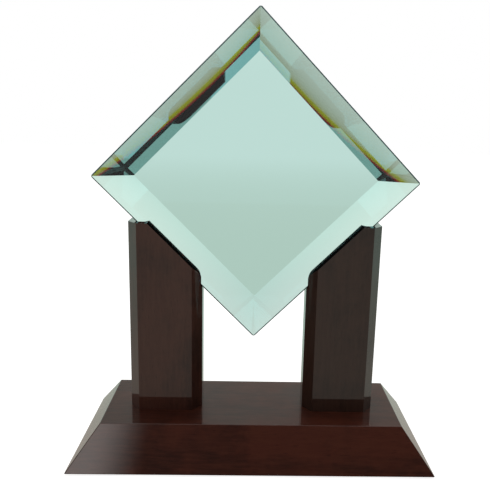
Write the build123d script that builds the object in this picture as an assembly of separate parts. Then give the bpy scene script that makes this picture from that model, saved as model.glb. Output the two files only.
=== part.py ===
from build123d import *
import os
from math import sqrt, tan, radians

# Desk award: a square jade-glass plate standing on its corner in the grooves of two
# lacquered rosewood posts, which are screwed to a bevelled rosewood base from below.
# Millimetres, +Z up, front face towards -Y. Origin: bottom centre of the felt pad.

# ---- felt pad --------------------------------------------------------------------
FELT_THICKNESS = 1.0
FELT_MARGIN = 5.0            # felt stops this far inside the base outline

# ---- base ------------------------------------------------------------------------
BASE_WIDTH = 238.0           # across the bottom, X
BASE_DEPTH = 105.0           # across the bottom, Y
BASE_HEIGHT = 25.4
BASE_INSET = 19.05           # how far every side leans in from bottom to top
BASE_EDGE_RADIUS = 0.7       # top and mitre edges
BASE_FOOT_RADIUS = 0.3       # sharp lower edges

# ---- posts -----------------------------------------------------------------------
POST_OUTER_X = 84.1
POST_INNER_X = 35.1
POST_DEPTH = 28.0
POST_HEIGHT = 130.4          # flat top above the base
POST_CHAMFER_X = 6.5         # chamfers on the four upright edges
POST_CHAMFER_Y = 7.7
POST_SHOULDER_RADIUS = 13.0  # rounding where the 45 degree cut meets the inner side

# ---- glass plate -----------------------------------------------------------------
PLATE_SIDE = 152.4
PLATE_THICKNESS = 19.05
PLATE_RIM = 1.2              # thin square rim left at the front
BEVEL_ANGLE = 44.25          # of the rear bevels, measured from the plate plane
PLATE_TIP_CUT = 0.8          # corners nipped this far in from the sharp tip
PLATE_ARRIS = 0.9            # 45 degree arris round the front face
PLATE_FRONT_Y = -7.0
PLATE_CENTRE_HEIGHT = 184.7  # above the underside of the base

# ---- groove ----------------------------------------------------------------------
GROOVE_DEPTH = 5.8           # square to the plate edge
GROOVE_CLEARANCE = 0.25      # on each face of the plate

# ---- screws ----------------------------------------------------------------------
SCREW_X = 59.6
SCREW_Y = 7.0                # two per post, at -Y and +Y
SCREW_SHANK = 4.2
SCREW_THREAD = 3.6
SCREW_LENGTH = 50.0
SCREW_TIP = 5.0
SCREW_THREAD_START = 27.0
SCREW_HEAD = 8.2
SCREW_HEAD_HEIGHT = 2.6
SCREW_RECESS = 1.6
SCREW_CLEARANCE = 0.2
PILOT_SPARE = 1.5            # pilot hole runs this far past the screw tip

BASE_BOTTOM_Z = FELT_THICKNESS
BASE_TOP_Z = BASE_BOTTOM_Z + BASE_HEIGHT
POST_TOP_Z = BASE_TOP_Z + POST_HEIGHT
PLATE_CENTRE_Z = BASE_BOTTOM_Z + PLATE_CENTRE_HEIGHT
HALF_DIAGONAL = PLATE_SIDE / sqrt(2)
BEVEL_DEPTH = PLATE_THICKNESS - PLATE_RIM
BEVEL_WIDTH = BEVEL_DEPTH / tan(radians(BEVEL_ANGLE))
FLOOR_Z = PLATE_CENTRE_Z - HALF_DIAGONAL      # groove floor line carried to x = 0
SLOPE_Z = FLOOR_Z + GROOVE_DEPTH * sqrt(2)    # 45 degree cut carried to x = 0
PLATE_REAR_AT_LIP = PLATE_FRONT_Y + PLATE_RIM + GROOVE_DEPTH * tan(radians(BEVEL_ANGLE))


def make_felt():
    outline = RectangleRounded(BASE_WIDTH - 2 * FELT_MARGIN, BASE_DEPTH - 2 * FELT_MARGIN, 4)
    return extrude(outline, amount=FELT_THICKNESS)


def above_the_foot(edge):
    return edge.center().Z > BASE_BOTTOM_Z + 0.1


def make_base():
    bottom = Plane.XY.offset(BASE_BOTTOM_Z) * Rectangle(BASE_WIDTH, BASE_DEPTH)
    top = Plane.XY.offset(BASE_TOP_Z) * Rectangle(
        BASE_WIDTH - 2 * BASE_INSET, BASE_DEPTH - 2 * BASE_INSET
    )
    block = loft([bottom.face(), top.face()], ruled=True)
    block = fillet(block.edges().filter_by(above_the_foot), BASE_EDGE_RADIUS)
    foot = block.faces().sort_by(Axis.Z)[0]
    block = fillet(foot.edges(), BASE_FOOT_RADIUS)
    for side in (-1, 1):
        for y in (-SCREW_Y, SCREW_Y):
            block -= base_screw_hole().moved(Location((side * SCREW_X, y, BASE_BOTTOM_Z)))
    return block


def base_screw_hole():
    # clearance hole with a countersink that matches the screw head, opening at z = 0
    shaft = extrude(Circle(SCREW_SHANK / 2 + SCREW_CLEARANCE), amount=BASE_HEIGHT)
    seat = Cone(
        SCREW_HEAD / 2, SCREW_SHANK / 2, SCREW_HEAD_HEIGHT,
        align=(Align.CENTER, Align.CENTER, Align.MIN),
    )
    return shaft + seat


def post_plan():
    # rectangle with its corners cut off, going round anticlockwise
    half_width = (POST_OUTER_X - POST_INNER_X) / 2
    half_depth = POST_DEPTH / 2
    corner = [
        (half_width, half_depth - POST_CHAMFER_Y),
        (half_width - POST_CHAMFER_X, half_depth),
    ]
    outline = []
    for x_sign, y_sign in ((1, 1), (-1, 1), (-1, -1), (1, -1)):
        ends = corner if x_sign == y_sign else corner[::-1]
        outline += [(x_sign * x, y_sign * y) for x, y in ends]
    return Polygon(*outline, align=None)


def make_post(side):
    # front outline: flat top outside, 45 degree cut towards the middle, rounded shoulder
    flat_end_x = POST_TOP_Z - SLOPE_Z
    shoulder_z = SLOPE_Z + POST_INNER_X
    outline = Polygon(
        (POST_INNER_X, BASE_TOP_Z),
        (POST_OUTER_X, BASE_TOP_Z),
        (POST_OUTER_X, POST_TOP_Z),
        (flat_end_x, POST_TOP_Z),
        (POST_INNER_X, shoulder_z),
        align=None,
    )
    shoulder = outline.vertices().sort_by_distance((POST_INNER_X, shoulder_z, 0))[0]
    outline = fillet(shoulder, POST_SHOULDER_RADIUS)
    blank = extrude(Plane.XZ * outline, amount=POST_DEPTH / 2, both=True)

    column = extrude(post_plan(), amount=POST_HEIGHT + 1).moved(
        Location(((POST_OUTER_X + POST_INNER_X) / 2, 0, BASE_TOP_Z))
    )
    post = blank & column
    post -= make_groove()
    for y in (-SCREW_Y, SCREW_Y):
        post -= pilot_hole().moved(Location((SCREW_X, y, BASE_TOP_Z)))
    if side < 0:
        post = mirror(post, about=Plane.YZ)
    return post


def make_groove():
    # slot for the plate edge, floor at 45 degrees, running right through the post
    front = PLATE_FRONT_Y - GROOVE_CLEARANCE
    rear = PLATE_REAR_AT_LIP + GROOVE_CLEARANCE
    reach = 2 * POST_OUTER_X
    slot = Polygon(
        (0, FLOOR_Z),
        (reach, FLOOR_Z + reach),
        (0, FLOOR_Z + reach),
        align=None,
    )
    # Plane.XZ faces -Y, so a negative distance carries the slot towards the rear
    return extrude(Plane.XZ.offset(-front) * slot, amount=-(rear - front))


def pilot_hole():
    depth = SCREW_LENGTH - BASE_HEIGHT + PILOT_SPARE
    lead_in = SCREW_THREAD_START - BASE_HEIGHT
    hole = extrude(Circle(SCREW_THREAD / 2), amount=depth)
    return hole + extrude(Circle(SCREW_SHANK / 2), amount=lead_in)


def make_screw():
    profile = Polygon(
        (0, 0),
        (SCREW_HEAD / 2, 0),
        (SCREW_SHANK / 2, SCREW_HEAD_HEIGHT),
        (SCREW_SHANK / 2, SCREW_THREAD_START),
        (SCREW_THREAD / 2, SCREW_THREAD_START),
        (SCREW_THREAD / 2, SCREW_LENGTH - SCREW_TIP),
        (0, SCREW_LENGTH),
        align=None,
    )
    screw = revolve(Plane.XZ * profile, axis=Axis.Z)
    for turn in (0, 90):
        bar = Box(1.1, 4.6, SCREW_RECESS, align=(Align.CENTER, Align.CENTER, Align.MIN))
        screw -= bar.moved(Location((0, 0, 0), (0, 0, turn)))
    return screw


def make_screws(side):
    screw = make_screw()
    places = [(side * SCREW_X, y, BASE_BOTTOM_Z) for y in (-SCREW_Y, SCREW_Y)]
    return Compound(children=[screw.moved(Location(place)) for place in places])


def square_on_corner(side, y):
    plane = Plane(origin=(0, y, PLATE_CENTRE_Z), x_dir=(1, 0, 0), z_dir=(0, -1, 0))
    return plane * Rectangle(side, side, rotation=45)


def make_plate():
    rim_y = PLATE_FRONT_Y + PLATE_RIM
    rear_y = PLATE_FRONT_Y + PLATE_THICKNESS
    front = extrude(square_on_corner(PLATE_SIDE, PLATE_FRONT_Y), amount=-PLATE_RIM)
    arris_edges = [
        e for e in front.edges()
        if abs(e.center().Y - PLATE_FRONT_Y) < 1e-6
    ]
    front = chamfer(arris_edges, PLATE_ARRIS)
    wide = square_on_corner(PLATE_SIDE, rim_y).face()
    narrow = square_on_corner(PLATE_SIDE - 2 * BEVEL_WIDTH, rear_y).face()
    plate = front + loft([wide, narrow], ruled=True)
    limit = 2 * (HALF_DIAGONAL - PLATE_TIP_CUT)
    keep = Box(limit, 200, limit).moved(Location((0, 0, PLATE_CENTRE_Z)))
    return plate & keep


NODES = {
    "base_felt": make_felt(),
    "base_block": make_base(),
    "left_post": make_post(-1),
    "right_post": make_post(1),
    "left_post_screws": make_screws(-1),
    "right_post_screws": make_screws(1),
    "crystal_plate": make_plate(),
}

os.makedirs("parts", exist_ok=True)
for name, solid in NODES.items():
    export_step(solid, f"parts/{name}.step")
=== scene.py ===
import math

import bpy
from mathutils import Matrix, Vector

# Desk award: a jade-glass plate in two grooved rosewood posts on a bevelled base.
# Everything is in metres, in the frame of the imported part.

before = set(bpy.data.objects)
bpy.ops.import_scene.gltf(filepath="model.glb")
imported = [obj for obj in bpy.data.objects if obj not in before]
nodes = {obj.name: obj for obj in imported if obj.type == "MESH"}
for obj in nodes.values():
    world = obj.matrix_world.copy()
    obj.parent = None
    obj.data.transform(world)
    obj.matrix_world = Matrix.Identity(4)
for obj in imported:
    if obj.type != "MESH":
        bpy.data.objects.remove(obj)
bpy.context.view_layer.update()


# ---- node helpers ----------------------------------------------------------------

class Tree:
    """A node tree, emptied, with short ways to add and join nodes."""

    def __init__(self, tree):
        self.tree = tree
        self.tree.nodes.clear()

    def add(self, kind, inputs=None, **settings):
        """A new node; each input is a number or colour, or the output that feeds it."""
        node = self.tree.nodes.new(kind)
        for key, value in settings.items():
            setattr(node, key, value)
        for key, value in (inputs or {}).items():
            socket = node.inputs[key]
            if isinstance(value, bpy.types.NodeSocket):
                self.tree.links.new(value, socket)
            else:
                socket.default_value = value
        return node

    def math(self, operation, a, b=0.0):
        return self.add("ShaderNodeMath", {0: a, 1: b}, operation=operation).outputs[0]

    def mix(self, factor, a, b, blend="MIX"):
        node = self.add(
            "ShaderNodeMix", {0: factor, 6: a, 7: b}, data_type="RGBA", blend_type=blend
        )
        return node.outputs[2]

    def remap(self, value, low, high, to_low=0.0, to_high=1.0):
        """to_low below low and to_high above high, with a smooth step between."""
        node = self.add(
            "ShaderNodeMapRange", {0: value, 1: low, 2: high, 3: to_low, 4: to_high},
            interpolation_type="SMOOTHSTEP",
        )
        return node.outputs[0]

    def inside(self, value, low, high, soft):
        """1 between low and high, falling smoothly to 0 within soft of each."""
        rise = self.remap(value, low - soft, low + soft)
        fall = self.remap(value, high - soft, high + soft, 1.0, 0.0)
        return self.math("MULTIPLY", rise, fall)

    def noise(self, vector, scale, detail=3.0, roughness=0.5, distortion=0.0):
        node = self.add(
            "ShaderNodeTexNoise",
            {"Vector": vector, "Scale": scale, "Detail": detail,
             "Roughness": roughness, "Distortion": distortion},
        )
        return node.outputs[0]

    def stretched(self, scale):
        """Places on the object, in metres, scaled along each axis."""
        place = self.add("ShaderNodeTexCoord").outputs["Object"]
        return self.add("ShaderNodeMapping", {"Vector": place, "Scale": scale}).outputs[0]

    def unstretched(self):
        return self.stretched((1.0, 1.0, 1.0))

    def rgb(self, values):
        return self.add("ShaderNodeCombineColor", dict(enumerate(values))).outputs[0]

    def bump(self, height, strength, distance):
        inputs = {"Height": height, "Strength": strength, "Distance": distance}
        return self.add("ShaderNodeBump", inputs).outputs[0]

    def principled(self, **inputs):
        """Ends the tree in a principled shader; Base_Color stands for Base Color."""
        named = {key.replace("_", " "): value for key, value in inputs.items()}
        shader = self.add("ShaderNodeBsdfPrincipled", named)
        self.add("ShaderNodeOutputMaterial", {"Surface": shader.outputs[0]})


def material(name):
    mat = bpy.data.materials.new(name)
    mat.use_nodes = True
    return mat, Tree(mat.node_tree)


def rgba(r, g, b):
    return (r, g, b, 1.0)


# ---- materials -------------------------------------------------------------------

# base: a stain over the rosewood's own colour; posts: painted shade, the right far darker
BASE_STAIN = (0.98, 0.76, 0.64)
LEFT_PAINTED_SHADE = (0.85, 0.92, 0.94)
RIGHT_PAINTED_SHADE = (0.51, 0.75, 0.80)

GLASS_INDEX = (1.518, 1.521, 1.5275)   # for red, green and blue light
JADE = (0.30, 0.80, 0.80)
JADE_DENSITY = 12.0


def rosewood(name, along, stain_and_painted_shade):
    """Dark rosewood under polished lacquer: grain along one axis (0, 1 or 2), with a stain on
    the base and painted shade on the posts.
    """
    mat, t = material(name)
    fibre = [60.0, 60.0, 60.0]
    fibre[along] = 7.0
    streak = [14.0, 14.0, 14.0]
    streak[along] = 2.2
    plain = t.unstretched()
    bands = t.noise(t.stretched(streak), 2.4, 4.0, 0.6, 0.5)
    cloud = t.noise(plain, 32.0, 4.0, 0.6, 0.3)
    fine = t.noise(t.stretched(fibre), 9.0, 4.0, 0.65)
    pores = t.noise(t.stretched(fibre), 24.0, 2.0, 0.5)
    tone = t.remap(t.math("ADD", bands, cloud), 0.82, 1.18)
    colour = t.mix(tone, rgba(0.029, 0.0098, 0.0072), rgba(0.066, 0.0205, 0.0135))
    colour = t.mix(t.remap(fine, 0.35, 0.70, 0.0, 0.35), colour, rgba(0.092, 0.034, 0.022))
    colour = t.mix(t.remap(pores, 0.60, 0.74, 0.0, 0.45), colour, rgba(0.014, 0.005, 0.004))
    smudge = t.noise(plain, 24.0, 3.0, 0.55)
    peel = t.noise(plain, 150.0, 2.0, 0.5)
    # the multiply on Base Color is a stain on the base and painted shade on each post
    t.principled(
        Base_Color=t.mix(1.0, colour, rgba(*stain_and_painted_shade), "MULTIPLY"),
        Roughness=t.remap(smudge, 0.3, 0.7, 0.42, 0.55), Specular_IOR_Level=0.08,
        Normal=t.bump(pores, 0.2, 0.00003),
        Coat_Weight=1.0, Coat_Roughness=0.03, Coat_IOR=1.5,
        Coat_Normal=t.bump(peel, 0.06, 0.00005),
    )
    return mat


def end_grain():
    """End grain of the grooves and sloping cuts, nearly black and unpolished."""
    mat, t = material("end_grain")
    pores = t.noise(t.unstretched(), 900.0, 3.0, 0.6)
    colour = t.mix(
        t.remap(pores, 0.35, 0.7), rgba(0.0035, 0.0045, 0.0045), rgba(0.008, 0.009, 0.009)
    )
    t.principled(
        Base_Color=colour, Roughness=t.remap(pores, 0.3, 0.7, 0.8, 0.95),
        Specular_IOR_Level=0.0,
    )
    return mat


def jade_glass():
    """Jade glass: its depth gives its colour, and red leaves at steeper angles than blue.

    The three colours share one mirror and one bent ray, mixed by the mean of their Fresnel
    values and tinted by how far each is from that mean.
    """
    mat, t = material("jade_glass")
    mirrored = [t.add("ShaderNodeFresnel", {"IOR": index}).outputs[0] for index in GLASS_INDEX]
    red_and_green = t.math("ADD", mirrored[0], mirrored[1])
    share = t.math("DIVIDE", t.math("ADD", red_and_green, mirrored[2]), 3.0)
    kept = t.math("SUBTRACT", 1.0, share)
    mirror_tint = [t.math("DIVIDE", part, share) for part in mirrored]
    bent_tint = [
        t.math("DIVIDE", t.math("SUBTRACT", 1.0, part), t.math("MAXIMUM", kept, 0.00001))
        for part in mirrored
    ]
    bent = t.add(
        "ShaderNodeBsdfRefraction",
        {"Color": t.rgb(bent_tint), "Roughness": 0.0, "IOR": GLASS_INDEX[0]},
    )
    mirror = t.add("ShaderNodeBsdfGlossy", {"Color": t.rgb(mirror_tint), "Roughness": 0.0})
    surface = t.add(
        "ShaderNodeMixShader", {0: share, 1: bent.outputs[0], 2: mirror.outputs[0]}
    )
    body = t.add("ShaderNodeVolumeAbsorption", {"Color": rgba(*JADE), "Density": JADE_DENSITY})
    t.add("ShaderNodeOutputMaterial", {"Surface": surface.outputs[0], "Volume": body.outputs[0]})
    return mat


def edge_painted_shade():
    """Finely ground edge of the plate, opaque and painted dark teal: painted shade in place of
    the little light that comes out of the glass edge.
    """
    mat, t = material("edge_painted_shade")
    grit = t.noise(t.unstretched(), 700.0, 3.0, 0.6)
    # painted shade: dark teal standing in for the light the glass edge would let through
    colour = t.mix(t.remap(grit, 0.3, 0.7), rgba(0.012, 0.055, 0.060), rgba(0.032, 0.115, 0.125))
    t.principled(
        Base_Color=colour, Roughness=t.remap(grit, 0.3, 0.7, 0.3, 0.45),
        Specular_IOR_Level=0.3, Normal=t.bump(grit, 0.2, 0.00004),
    )
    return mat


def felt():
    """Black felt: fine fibres under a slower, paler nap."""
    mat, t = material("black_felt")
    plain = t.unstretched()
    fibres = t.noise(plain, 900.0, 4.0, 0.7)
    nap = t.noise(plain, 60.0, 3.0, 0.6)
    colour = t.mix(t.remap(fibres, 0.3, 0.7), rgba(0.006, 0.006, 0.007), rgba(0.03, 0.03, 0.033))
    colour = t.mix(t.remap(nap, 0.4, 0.8, 0.0, 0.5), colour, rgba(0.045, 0.045, 0.048))
    t.principled(
        Base_Color=colour, Roughness=0.95, Normal=t.bump(fibres, 0.7, 0.0003),
        Sheen_Weight=0.35, Sheen_Roughness=0.5,
    )
    return mat


def zinc_steel():
    """Zinc-plated steel with fine turning marks round the screws."""
    mat, t = material("zinc_steel")
    turned = t.noise(t.stretched((300.0, 300.0, 2600.0)), 1.0, 3.0, 0.6)
    mottle = t.noise(t.unstretched(), 420.0, 3.0, 0.6)
    colour = t.mix(t.remap(mottle, 0.3, 0.7), rgba(0.46, 0.43, 0.35), rgba(0.66, 0.63, 0.55))
    t.principled(
        Base_Color=colour, Metallic=1.0, Roughness=t.remap(turned, 0.3, 0.7, 0.22, 0.4),
        Normal=t.bump(turned, 0.3, 0.00005),
    )
    return mat


# ---- materials on the pieces -----------------------------------------------------

EDGE_ROUNDING = 0.0005
SHARP_EDGE = math.radians(30)
SAME_POINT = 0.000001


def give(node_name, mat):
    mesh = nodes[node_name].data
    mesh.materials.clear()
    mesh.materials.append(mat)


def give_faces(node_name, mat, chosen):
    """A second material, on the faces that chosen picks by outward direction and place."""
    mesh = nodes[node_name].data
    mesh.materials.append(mat)
    for face in mesh.polygons:
        if chosen(face.normal, face.center):
            face.material_index = 1


def rim_or_arris(facing, _):
    """The rim and the front arris: not the flat front, nor the rear with its bevels."""
    return -0.9 < facing.y < 0.2


def cut_or_groove(facing, place):
    """The 45 degree cut, its rounded shoulder, and the groove's floor and front wall."""
    return 0.1 < facing.z < 0.9 or (facing.y > 0.9 and place.y < 0)


def soften_edges(node_name):
    """Rounds the sharp edges a little, so that they catch the light."""
    weld = nodes[node_name].modifiers.new("weld", "WELD")
    weld.merge_threshold = SAME_POINT
    bevel = nodes[node_name].modifiers.new("soft_edges", "BEVEL")
    bevel.width = EDGE_ROUNDING
    bevel.segments = 3
    bevel.limit_method = "ANGLE"
    bevel.angle_limit = SHARP_EDGE


steel = zinc_steel()
give("base_block", rosewood("rosewood_base", 0, BASE_STAIN))
# the posts are painted-shade copies of one rosewood, the right post much darker
give("left_post", rosewood("rosewood_left", 2, LEFT_PAINTED_SHADE))
give("right_post", rosewood("rosewood_right", 2, RIGHT_PAINTED_SHADE))
give("crystal_plate", jade_glass())
# the rim and arris are opaque, with painted shade in place of the glass edge's look
give_faces("crystal_plate", edge_painted_shade(), rim_or_arris)
bare_wood = end_grain()
for post in ("left_post", "right_post"):
    give_faces(post, bare_wood, cut_or_groove)
    soften_edges(post)
give("base_felt", felt())
give("left_post_screws", steel)
give("right_post_screws", steel)


# ---- stage -----------------------------------------------------------------------

# A plain paper sweep and backdrop under one big soft light, with a softbox in front, high
# on the left. The camera sees the paper as white; glass and lacquer see it grey-green, as a
# painted glow that no light falls on.
PAPER_FRONT = (0.46, 0.42, 0.37)
PAPER_REAR = (0.49, 0.63, 0.55)
BACKDROP_LOW = (0.605, 0.765, 0.705)
BACKDROP_HIGH = (0.70, 0.89, 0.80)
ABOVE_BACKDROP = (0.41, 0.40, 0.37)
ROOM_LOW = (0.56, 0.57, 0.55)
ROOM_HIGH = (0.07, 0.045, 0.04)
SOFTBOX = (2.9, 2.7, 2.6)
WHITE = (1.0, 1.0, 1.0)

FLOOR_REACH = 4.0            # to each side and to the rear
FLOOR_FRONT = -1.2

TOP_LIGHT_PLACE = Vector((0.0, 0.2, 1.7))
TOP_LIGHT_TARGET = Vector((0.0, 0.1, 0.0))
TOP_LIGHT_SIZE = (2.8, 2.4)
TOP_LIGHT_WATTS = 16.0


def floor_material():
    mat, t = material("pale_floor")
    seen = t.add("ShaderNodeLightPath").outputs["Is Camera Ray"]
    place = t.add("ShaderNodeTexCoord").outputs["Object"]
    y = t.add("ShaderNodeSeparateXYZ", {0: place}).outputs["Y"]
    colour = t.mix(t.remap(y, -0.05, 0.25), rgba(*PAPER_FRONT), rgba(*PAPER_REAR))
    colour = t.mix(t.remap(y, 0.3, 3.4), colour, rgba(*BACKDROP_LOW))
    # painted light: for glass and lacquer the paper glows, darker and warmer in front
    plain = t.add("ShaderNodeEmission", {"Color": colour, "Strength": 1.0})
    white = t.add("ShaderNodeBsdfDiffuse", {"Color": rgba(0.55, 0.55, 0.55)})
    lift = t.add("ShaderNodeEmission", {"Color": rgba(*WHITE), "Strength": 0.85})
    bright = t.add("ShaderNodeAddShader", {0: white.outputs[0], 1: lift.outputs[0]})
    both = t.add(
        "ShaderNodeMixShader", {0: seen, 1: plain.outputs[0], 2: bright.outputs[0]}
    )
    t.add("ShaderNodeOutputMaterial", {"Surface": both.outputs[0]})
    return mat


def make_floor():
    mesh = bpy.data.meshes.new("floor")
    corners = [
        (-FLOOR_REACH, FLOOR_FRONT, 0), (FLOOR_REACH, FLOOR_FRONT, 0),
        (FLOOR_REACH, FLOOR_REACH, 0), (-FLOOR_REACH, FLOOR_REACH, 0),
    ]
    mesh.from_pydata(corners, [], [(0, 1, 2, 3)])
    mesh.materials.append(floor_material())
    floor = bpy.data.objects.new("floor", mesh)
    bpy.context.scene.collection.objects.link(floor)


def make_world():
    world = bpy.data.worlds.new("studio")
    bpy.context.scene.world = world
    world.use_nodes = True
    t = Tree(world.node_tree)
    way = t.add("ShaderNodeTexCoord").outputs["Generated"]
    axes = t.add("ShaderNodeSeparateXYZ", {0: way})
    x, y, z = (axes.outputs[name] for name in "XYZ")

    # slopes as seen from the object: across and up, for each step away in Y
    away = t.math("MAXIMUM", t.math("ABSOLUTE", y), 0.02)
    across = t.math("DIVIDE", x, away)
    up = t.math("DIVIDE", z, away)

    # behind the object: the backdrop lightens upwards, and ends above the picture
    backdrop = t.mix(t.remap(up, 0.06, 0.24), rgba(*BACKDROP_LOW), rgba(*BACKDROP_HIGH))
    backdrop = t.mix(t.remap(up, 0.28, 0.45), backdrop, rgba(*ABOVE_BACKDROP))

    # in front of it: a pale lower half, a dim upper half and the softbox
    room = t.mix(t.remap(up, 0.25, 0.50), rgba(*ROOM_LOW), rgba(*ROOM_HIGH))
    softbox = t.math(
        "MULTIPLY", t.inside(across, -0.80, -0.272, 0.065), t.inside(up, 0.72, 1.2, 0.06)
    )
    room = t.mix(softbox, room, rgba(*SOFTBOX))
    colour = t.mix(t.remap(y, -0.45, 0.05), room, backdrop)
    seen = t.add("ShaderNodeLightPath").outputs["Is Camera Ray"]
    colour = t.mix(seen, colour, rgba(*WHITE))
    back = t.add("ShaderNodeBackground", {"Color": colour, "Strength": 1.0})
    t.add("ShaderNodeOutputWorld", {"Surface": back.outputs[0]})


def make_top_light():
    data = bpy.data.lights.new("top", "AREA")
    data.shape = "RECTANGLE"
    data.size, data.size_y = TOP_LIGHT_SIZE
    data.energy = TOP_LIGHT_WATTS
    light = bpy.data.objects.new("top", data)
    turn = (TOP_LIGHT_TARGET - TOP_LIGHT_PLACE).to_track_quat("-Z", "Y").to_matrix().to_4x4()
    light.matrix_world = Matrix.Translation(TOP_LIGHT_PLACE) @ turn
    bpy.context.scene.collection.objects.link(light)


make_floor()
make_world()
make_top_light()


# ---- camera ----------------------------------------------------------------------

CAMERA_PLACE = (-0.0046, -0.3954, 0.2250)
CAMERA_YAW = 0.0305          # radians, to the right
CAMERA_PITCH = 0.2088        # down
CAMERA_ROLL = 0.0265
SENSOR_WIDTH = 36.0
FOCAL_LENGTH = 43.86122
SIDE_SHIFT = -0.0436735      # of the picture's width


def make_camera():
    yaw, pitch, roll = CAMERA_YAW, CAMERA_PITCH, CAMERA_ROLL
    look = Vector((
        math.sin(yaw) * math.cos(pitch), math.cos(yaw) * math.cos(pitch), -math.sin(pitch)
    ))
    right = Vector((math.cos(yaw), -math.sin(yaw), 0))
    up = right.cross(look)
    right, up = (
        math.cos(roll) * right + math.sin(roll) * up,
        math.cos(roll) * up - math.sin(roll) * right,
    )
    turn = Matrix((right, up, -look)).transposed().to_4x4()
    data = bpy.data.cameras.new("camera")
    data.sensor_width = SENSOR_WIDTH
    data.lens = FOCAL_LENGTH
    data.shift_x = SIDE_SHIFT
    data.clip_start = 0.01
    camera = bpy.data.objects.new("camera", data)
    camera.matrix_world = Matrix.Translation(CAMERA_PLACE) @ turn
    bpy.context.scene.collection.objects.link(camera)
    bpy.context.scene.camera = camera


make_camera()
bpy.context.scene.view_settings.view_transform = "Standard"
bpy.context.scene.view_settings.look = "None"
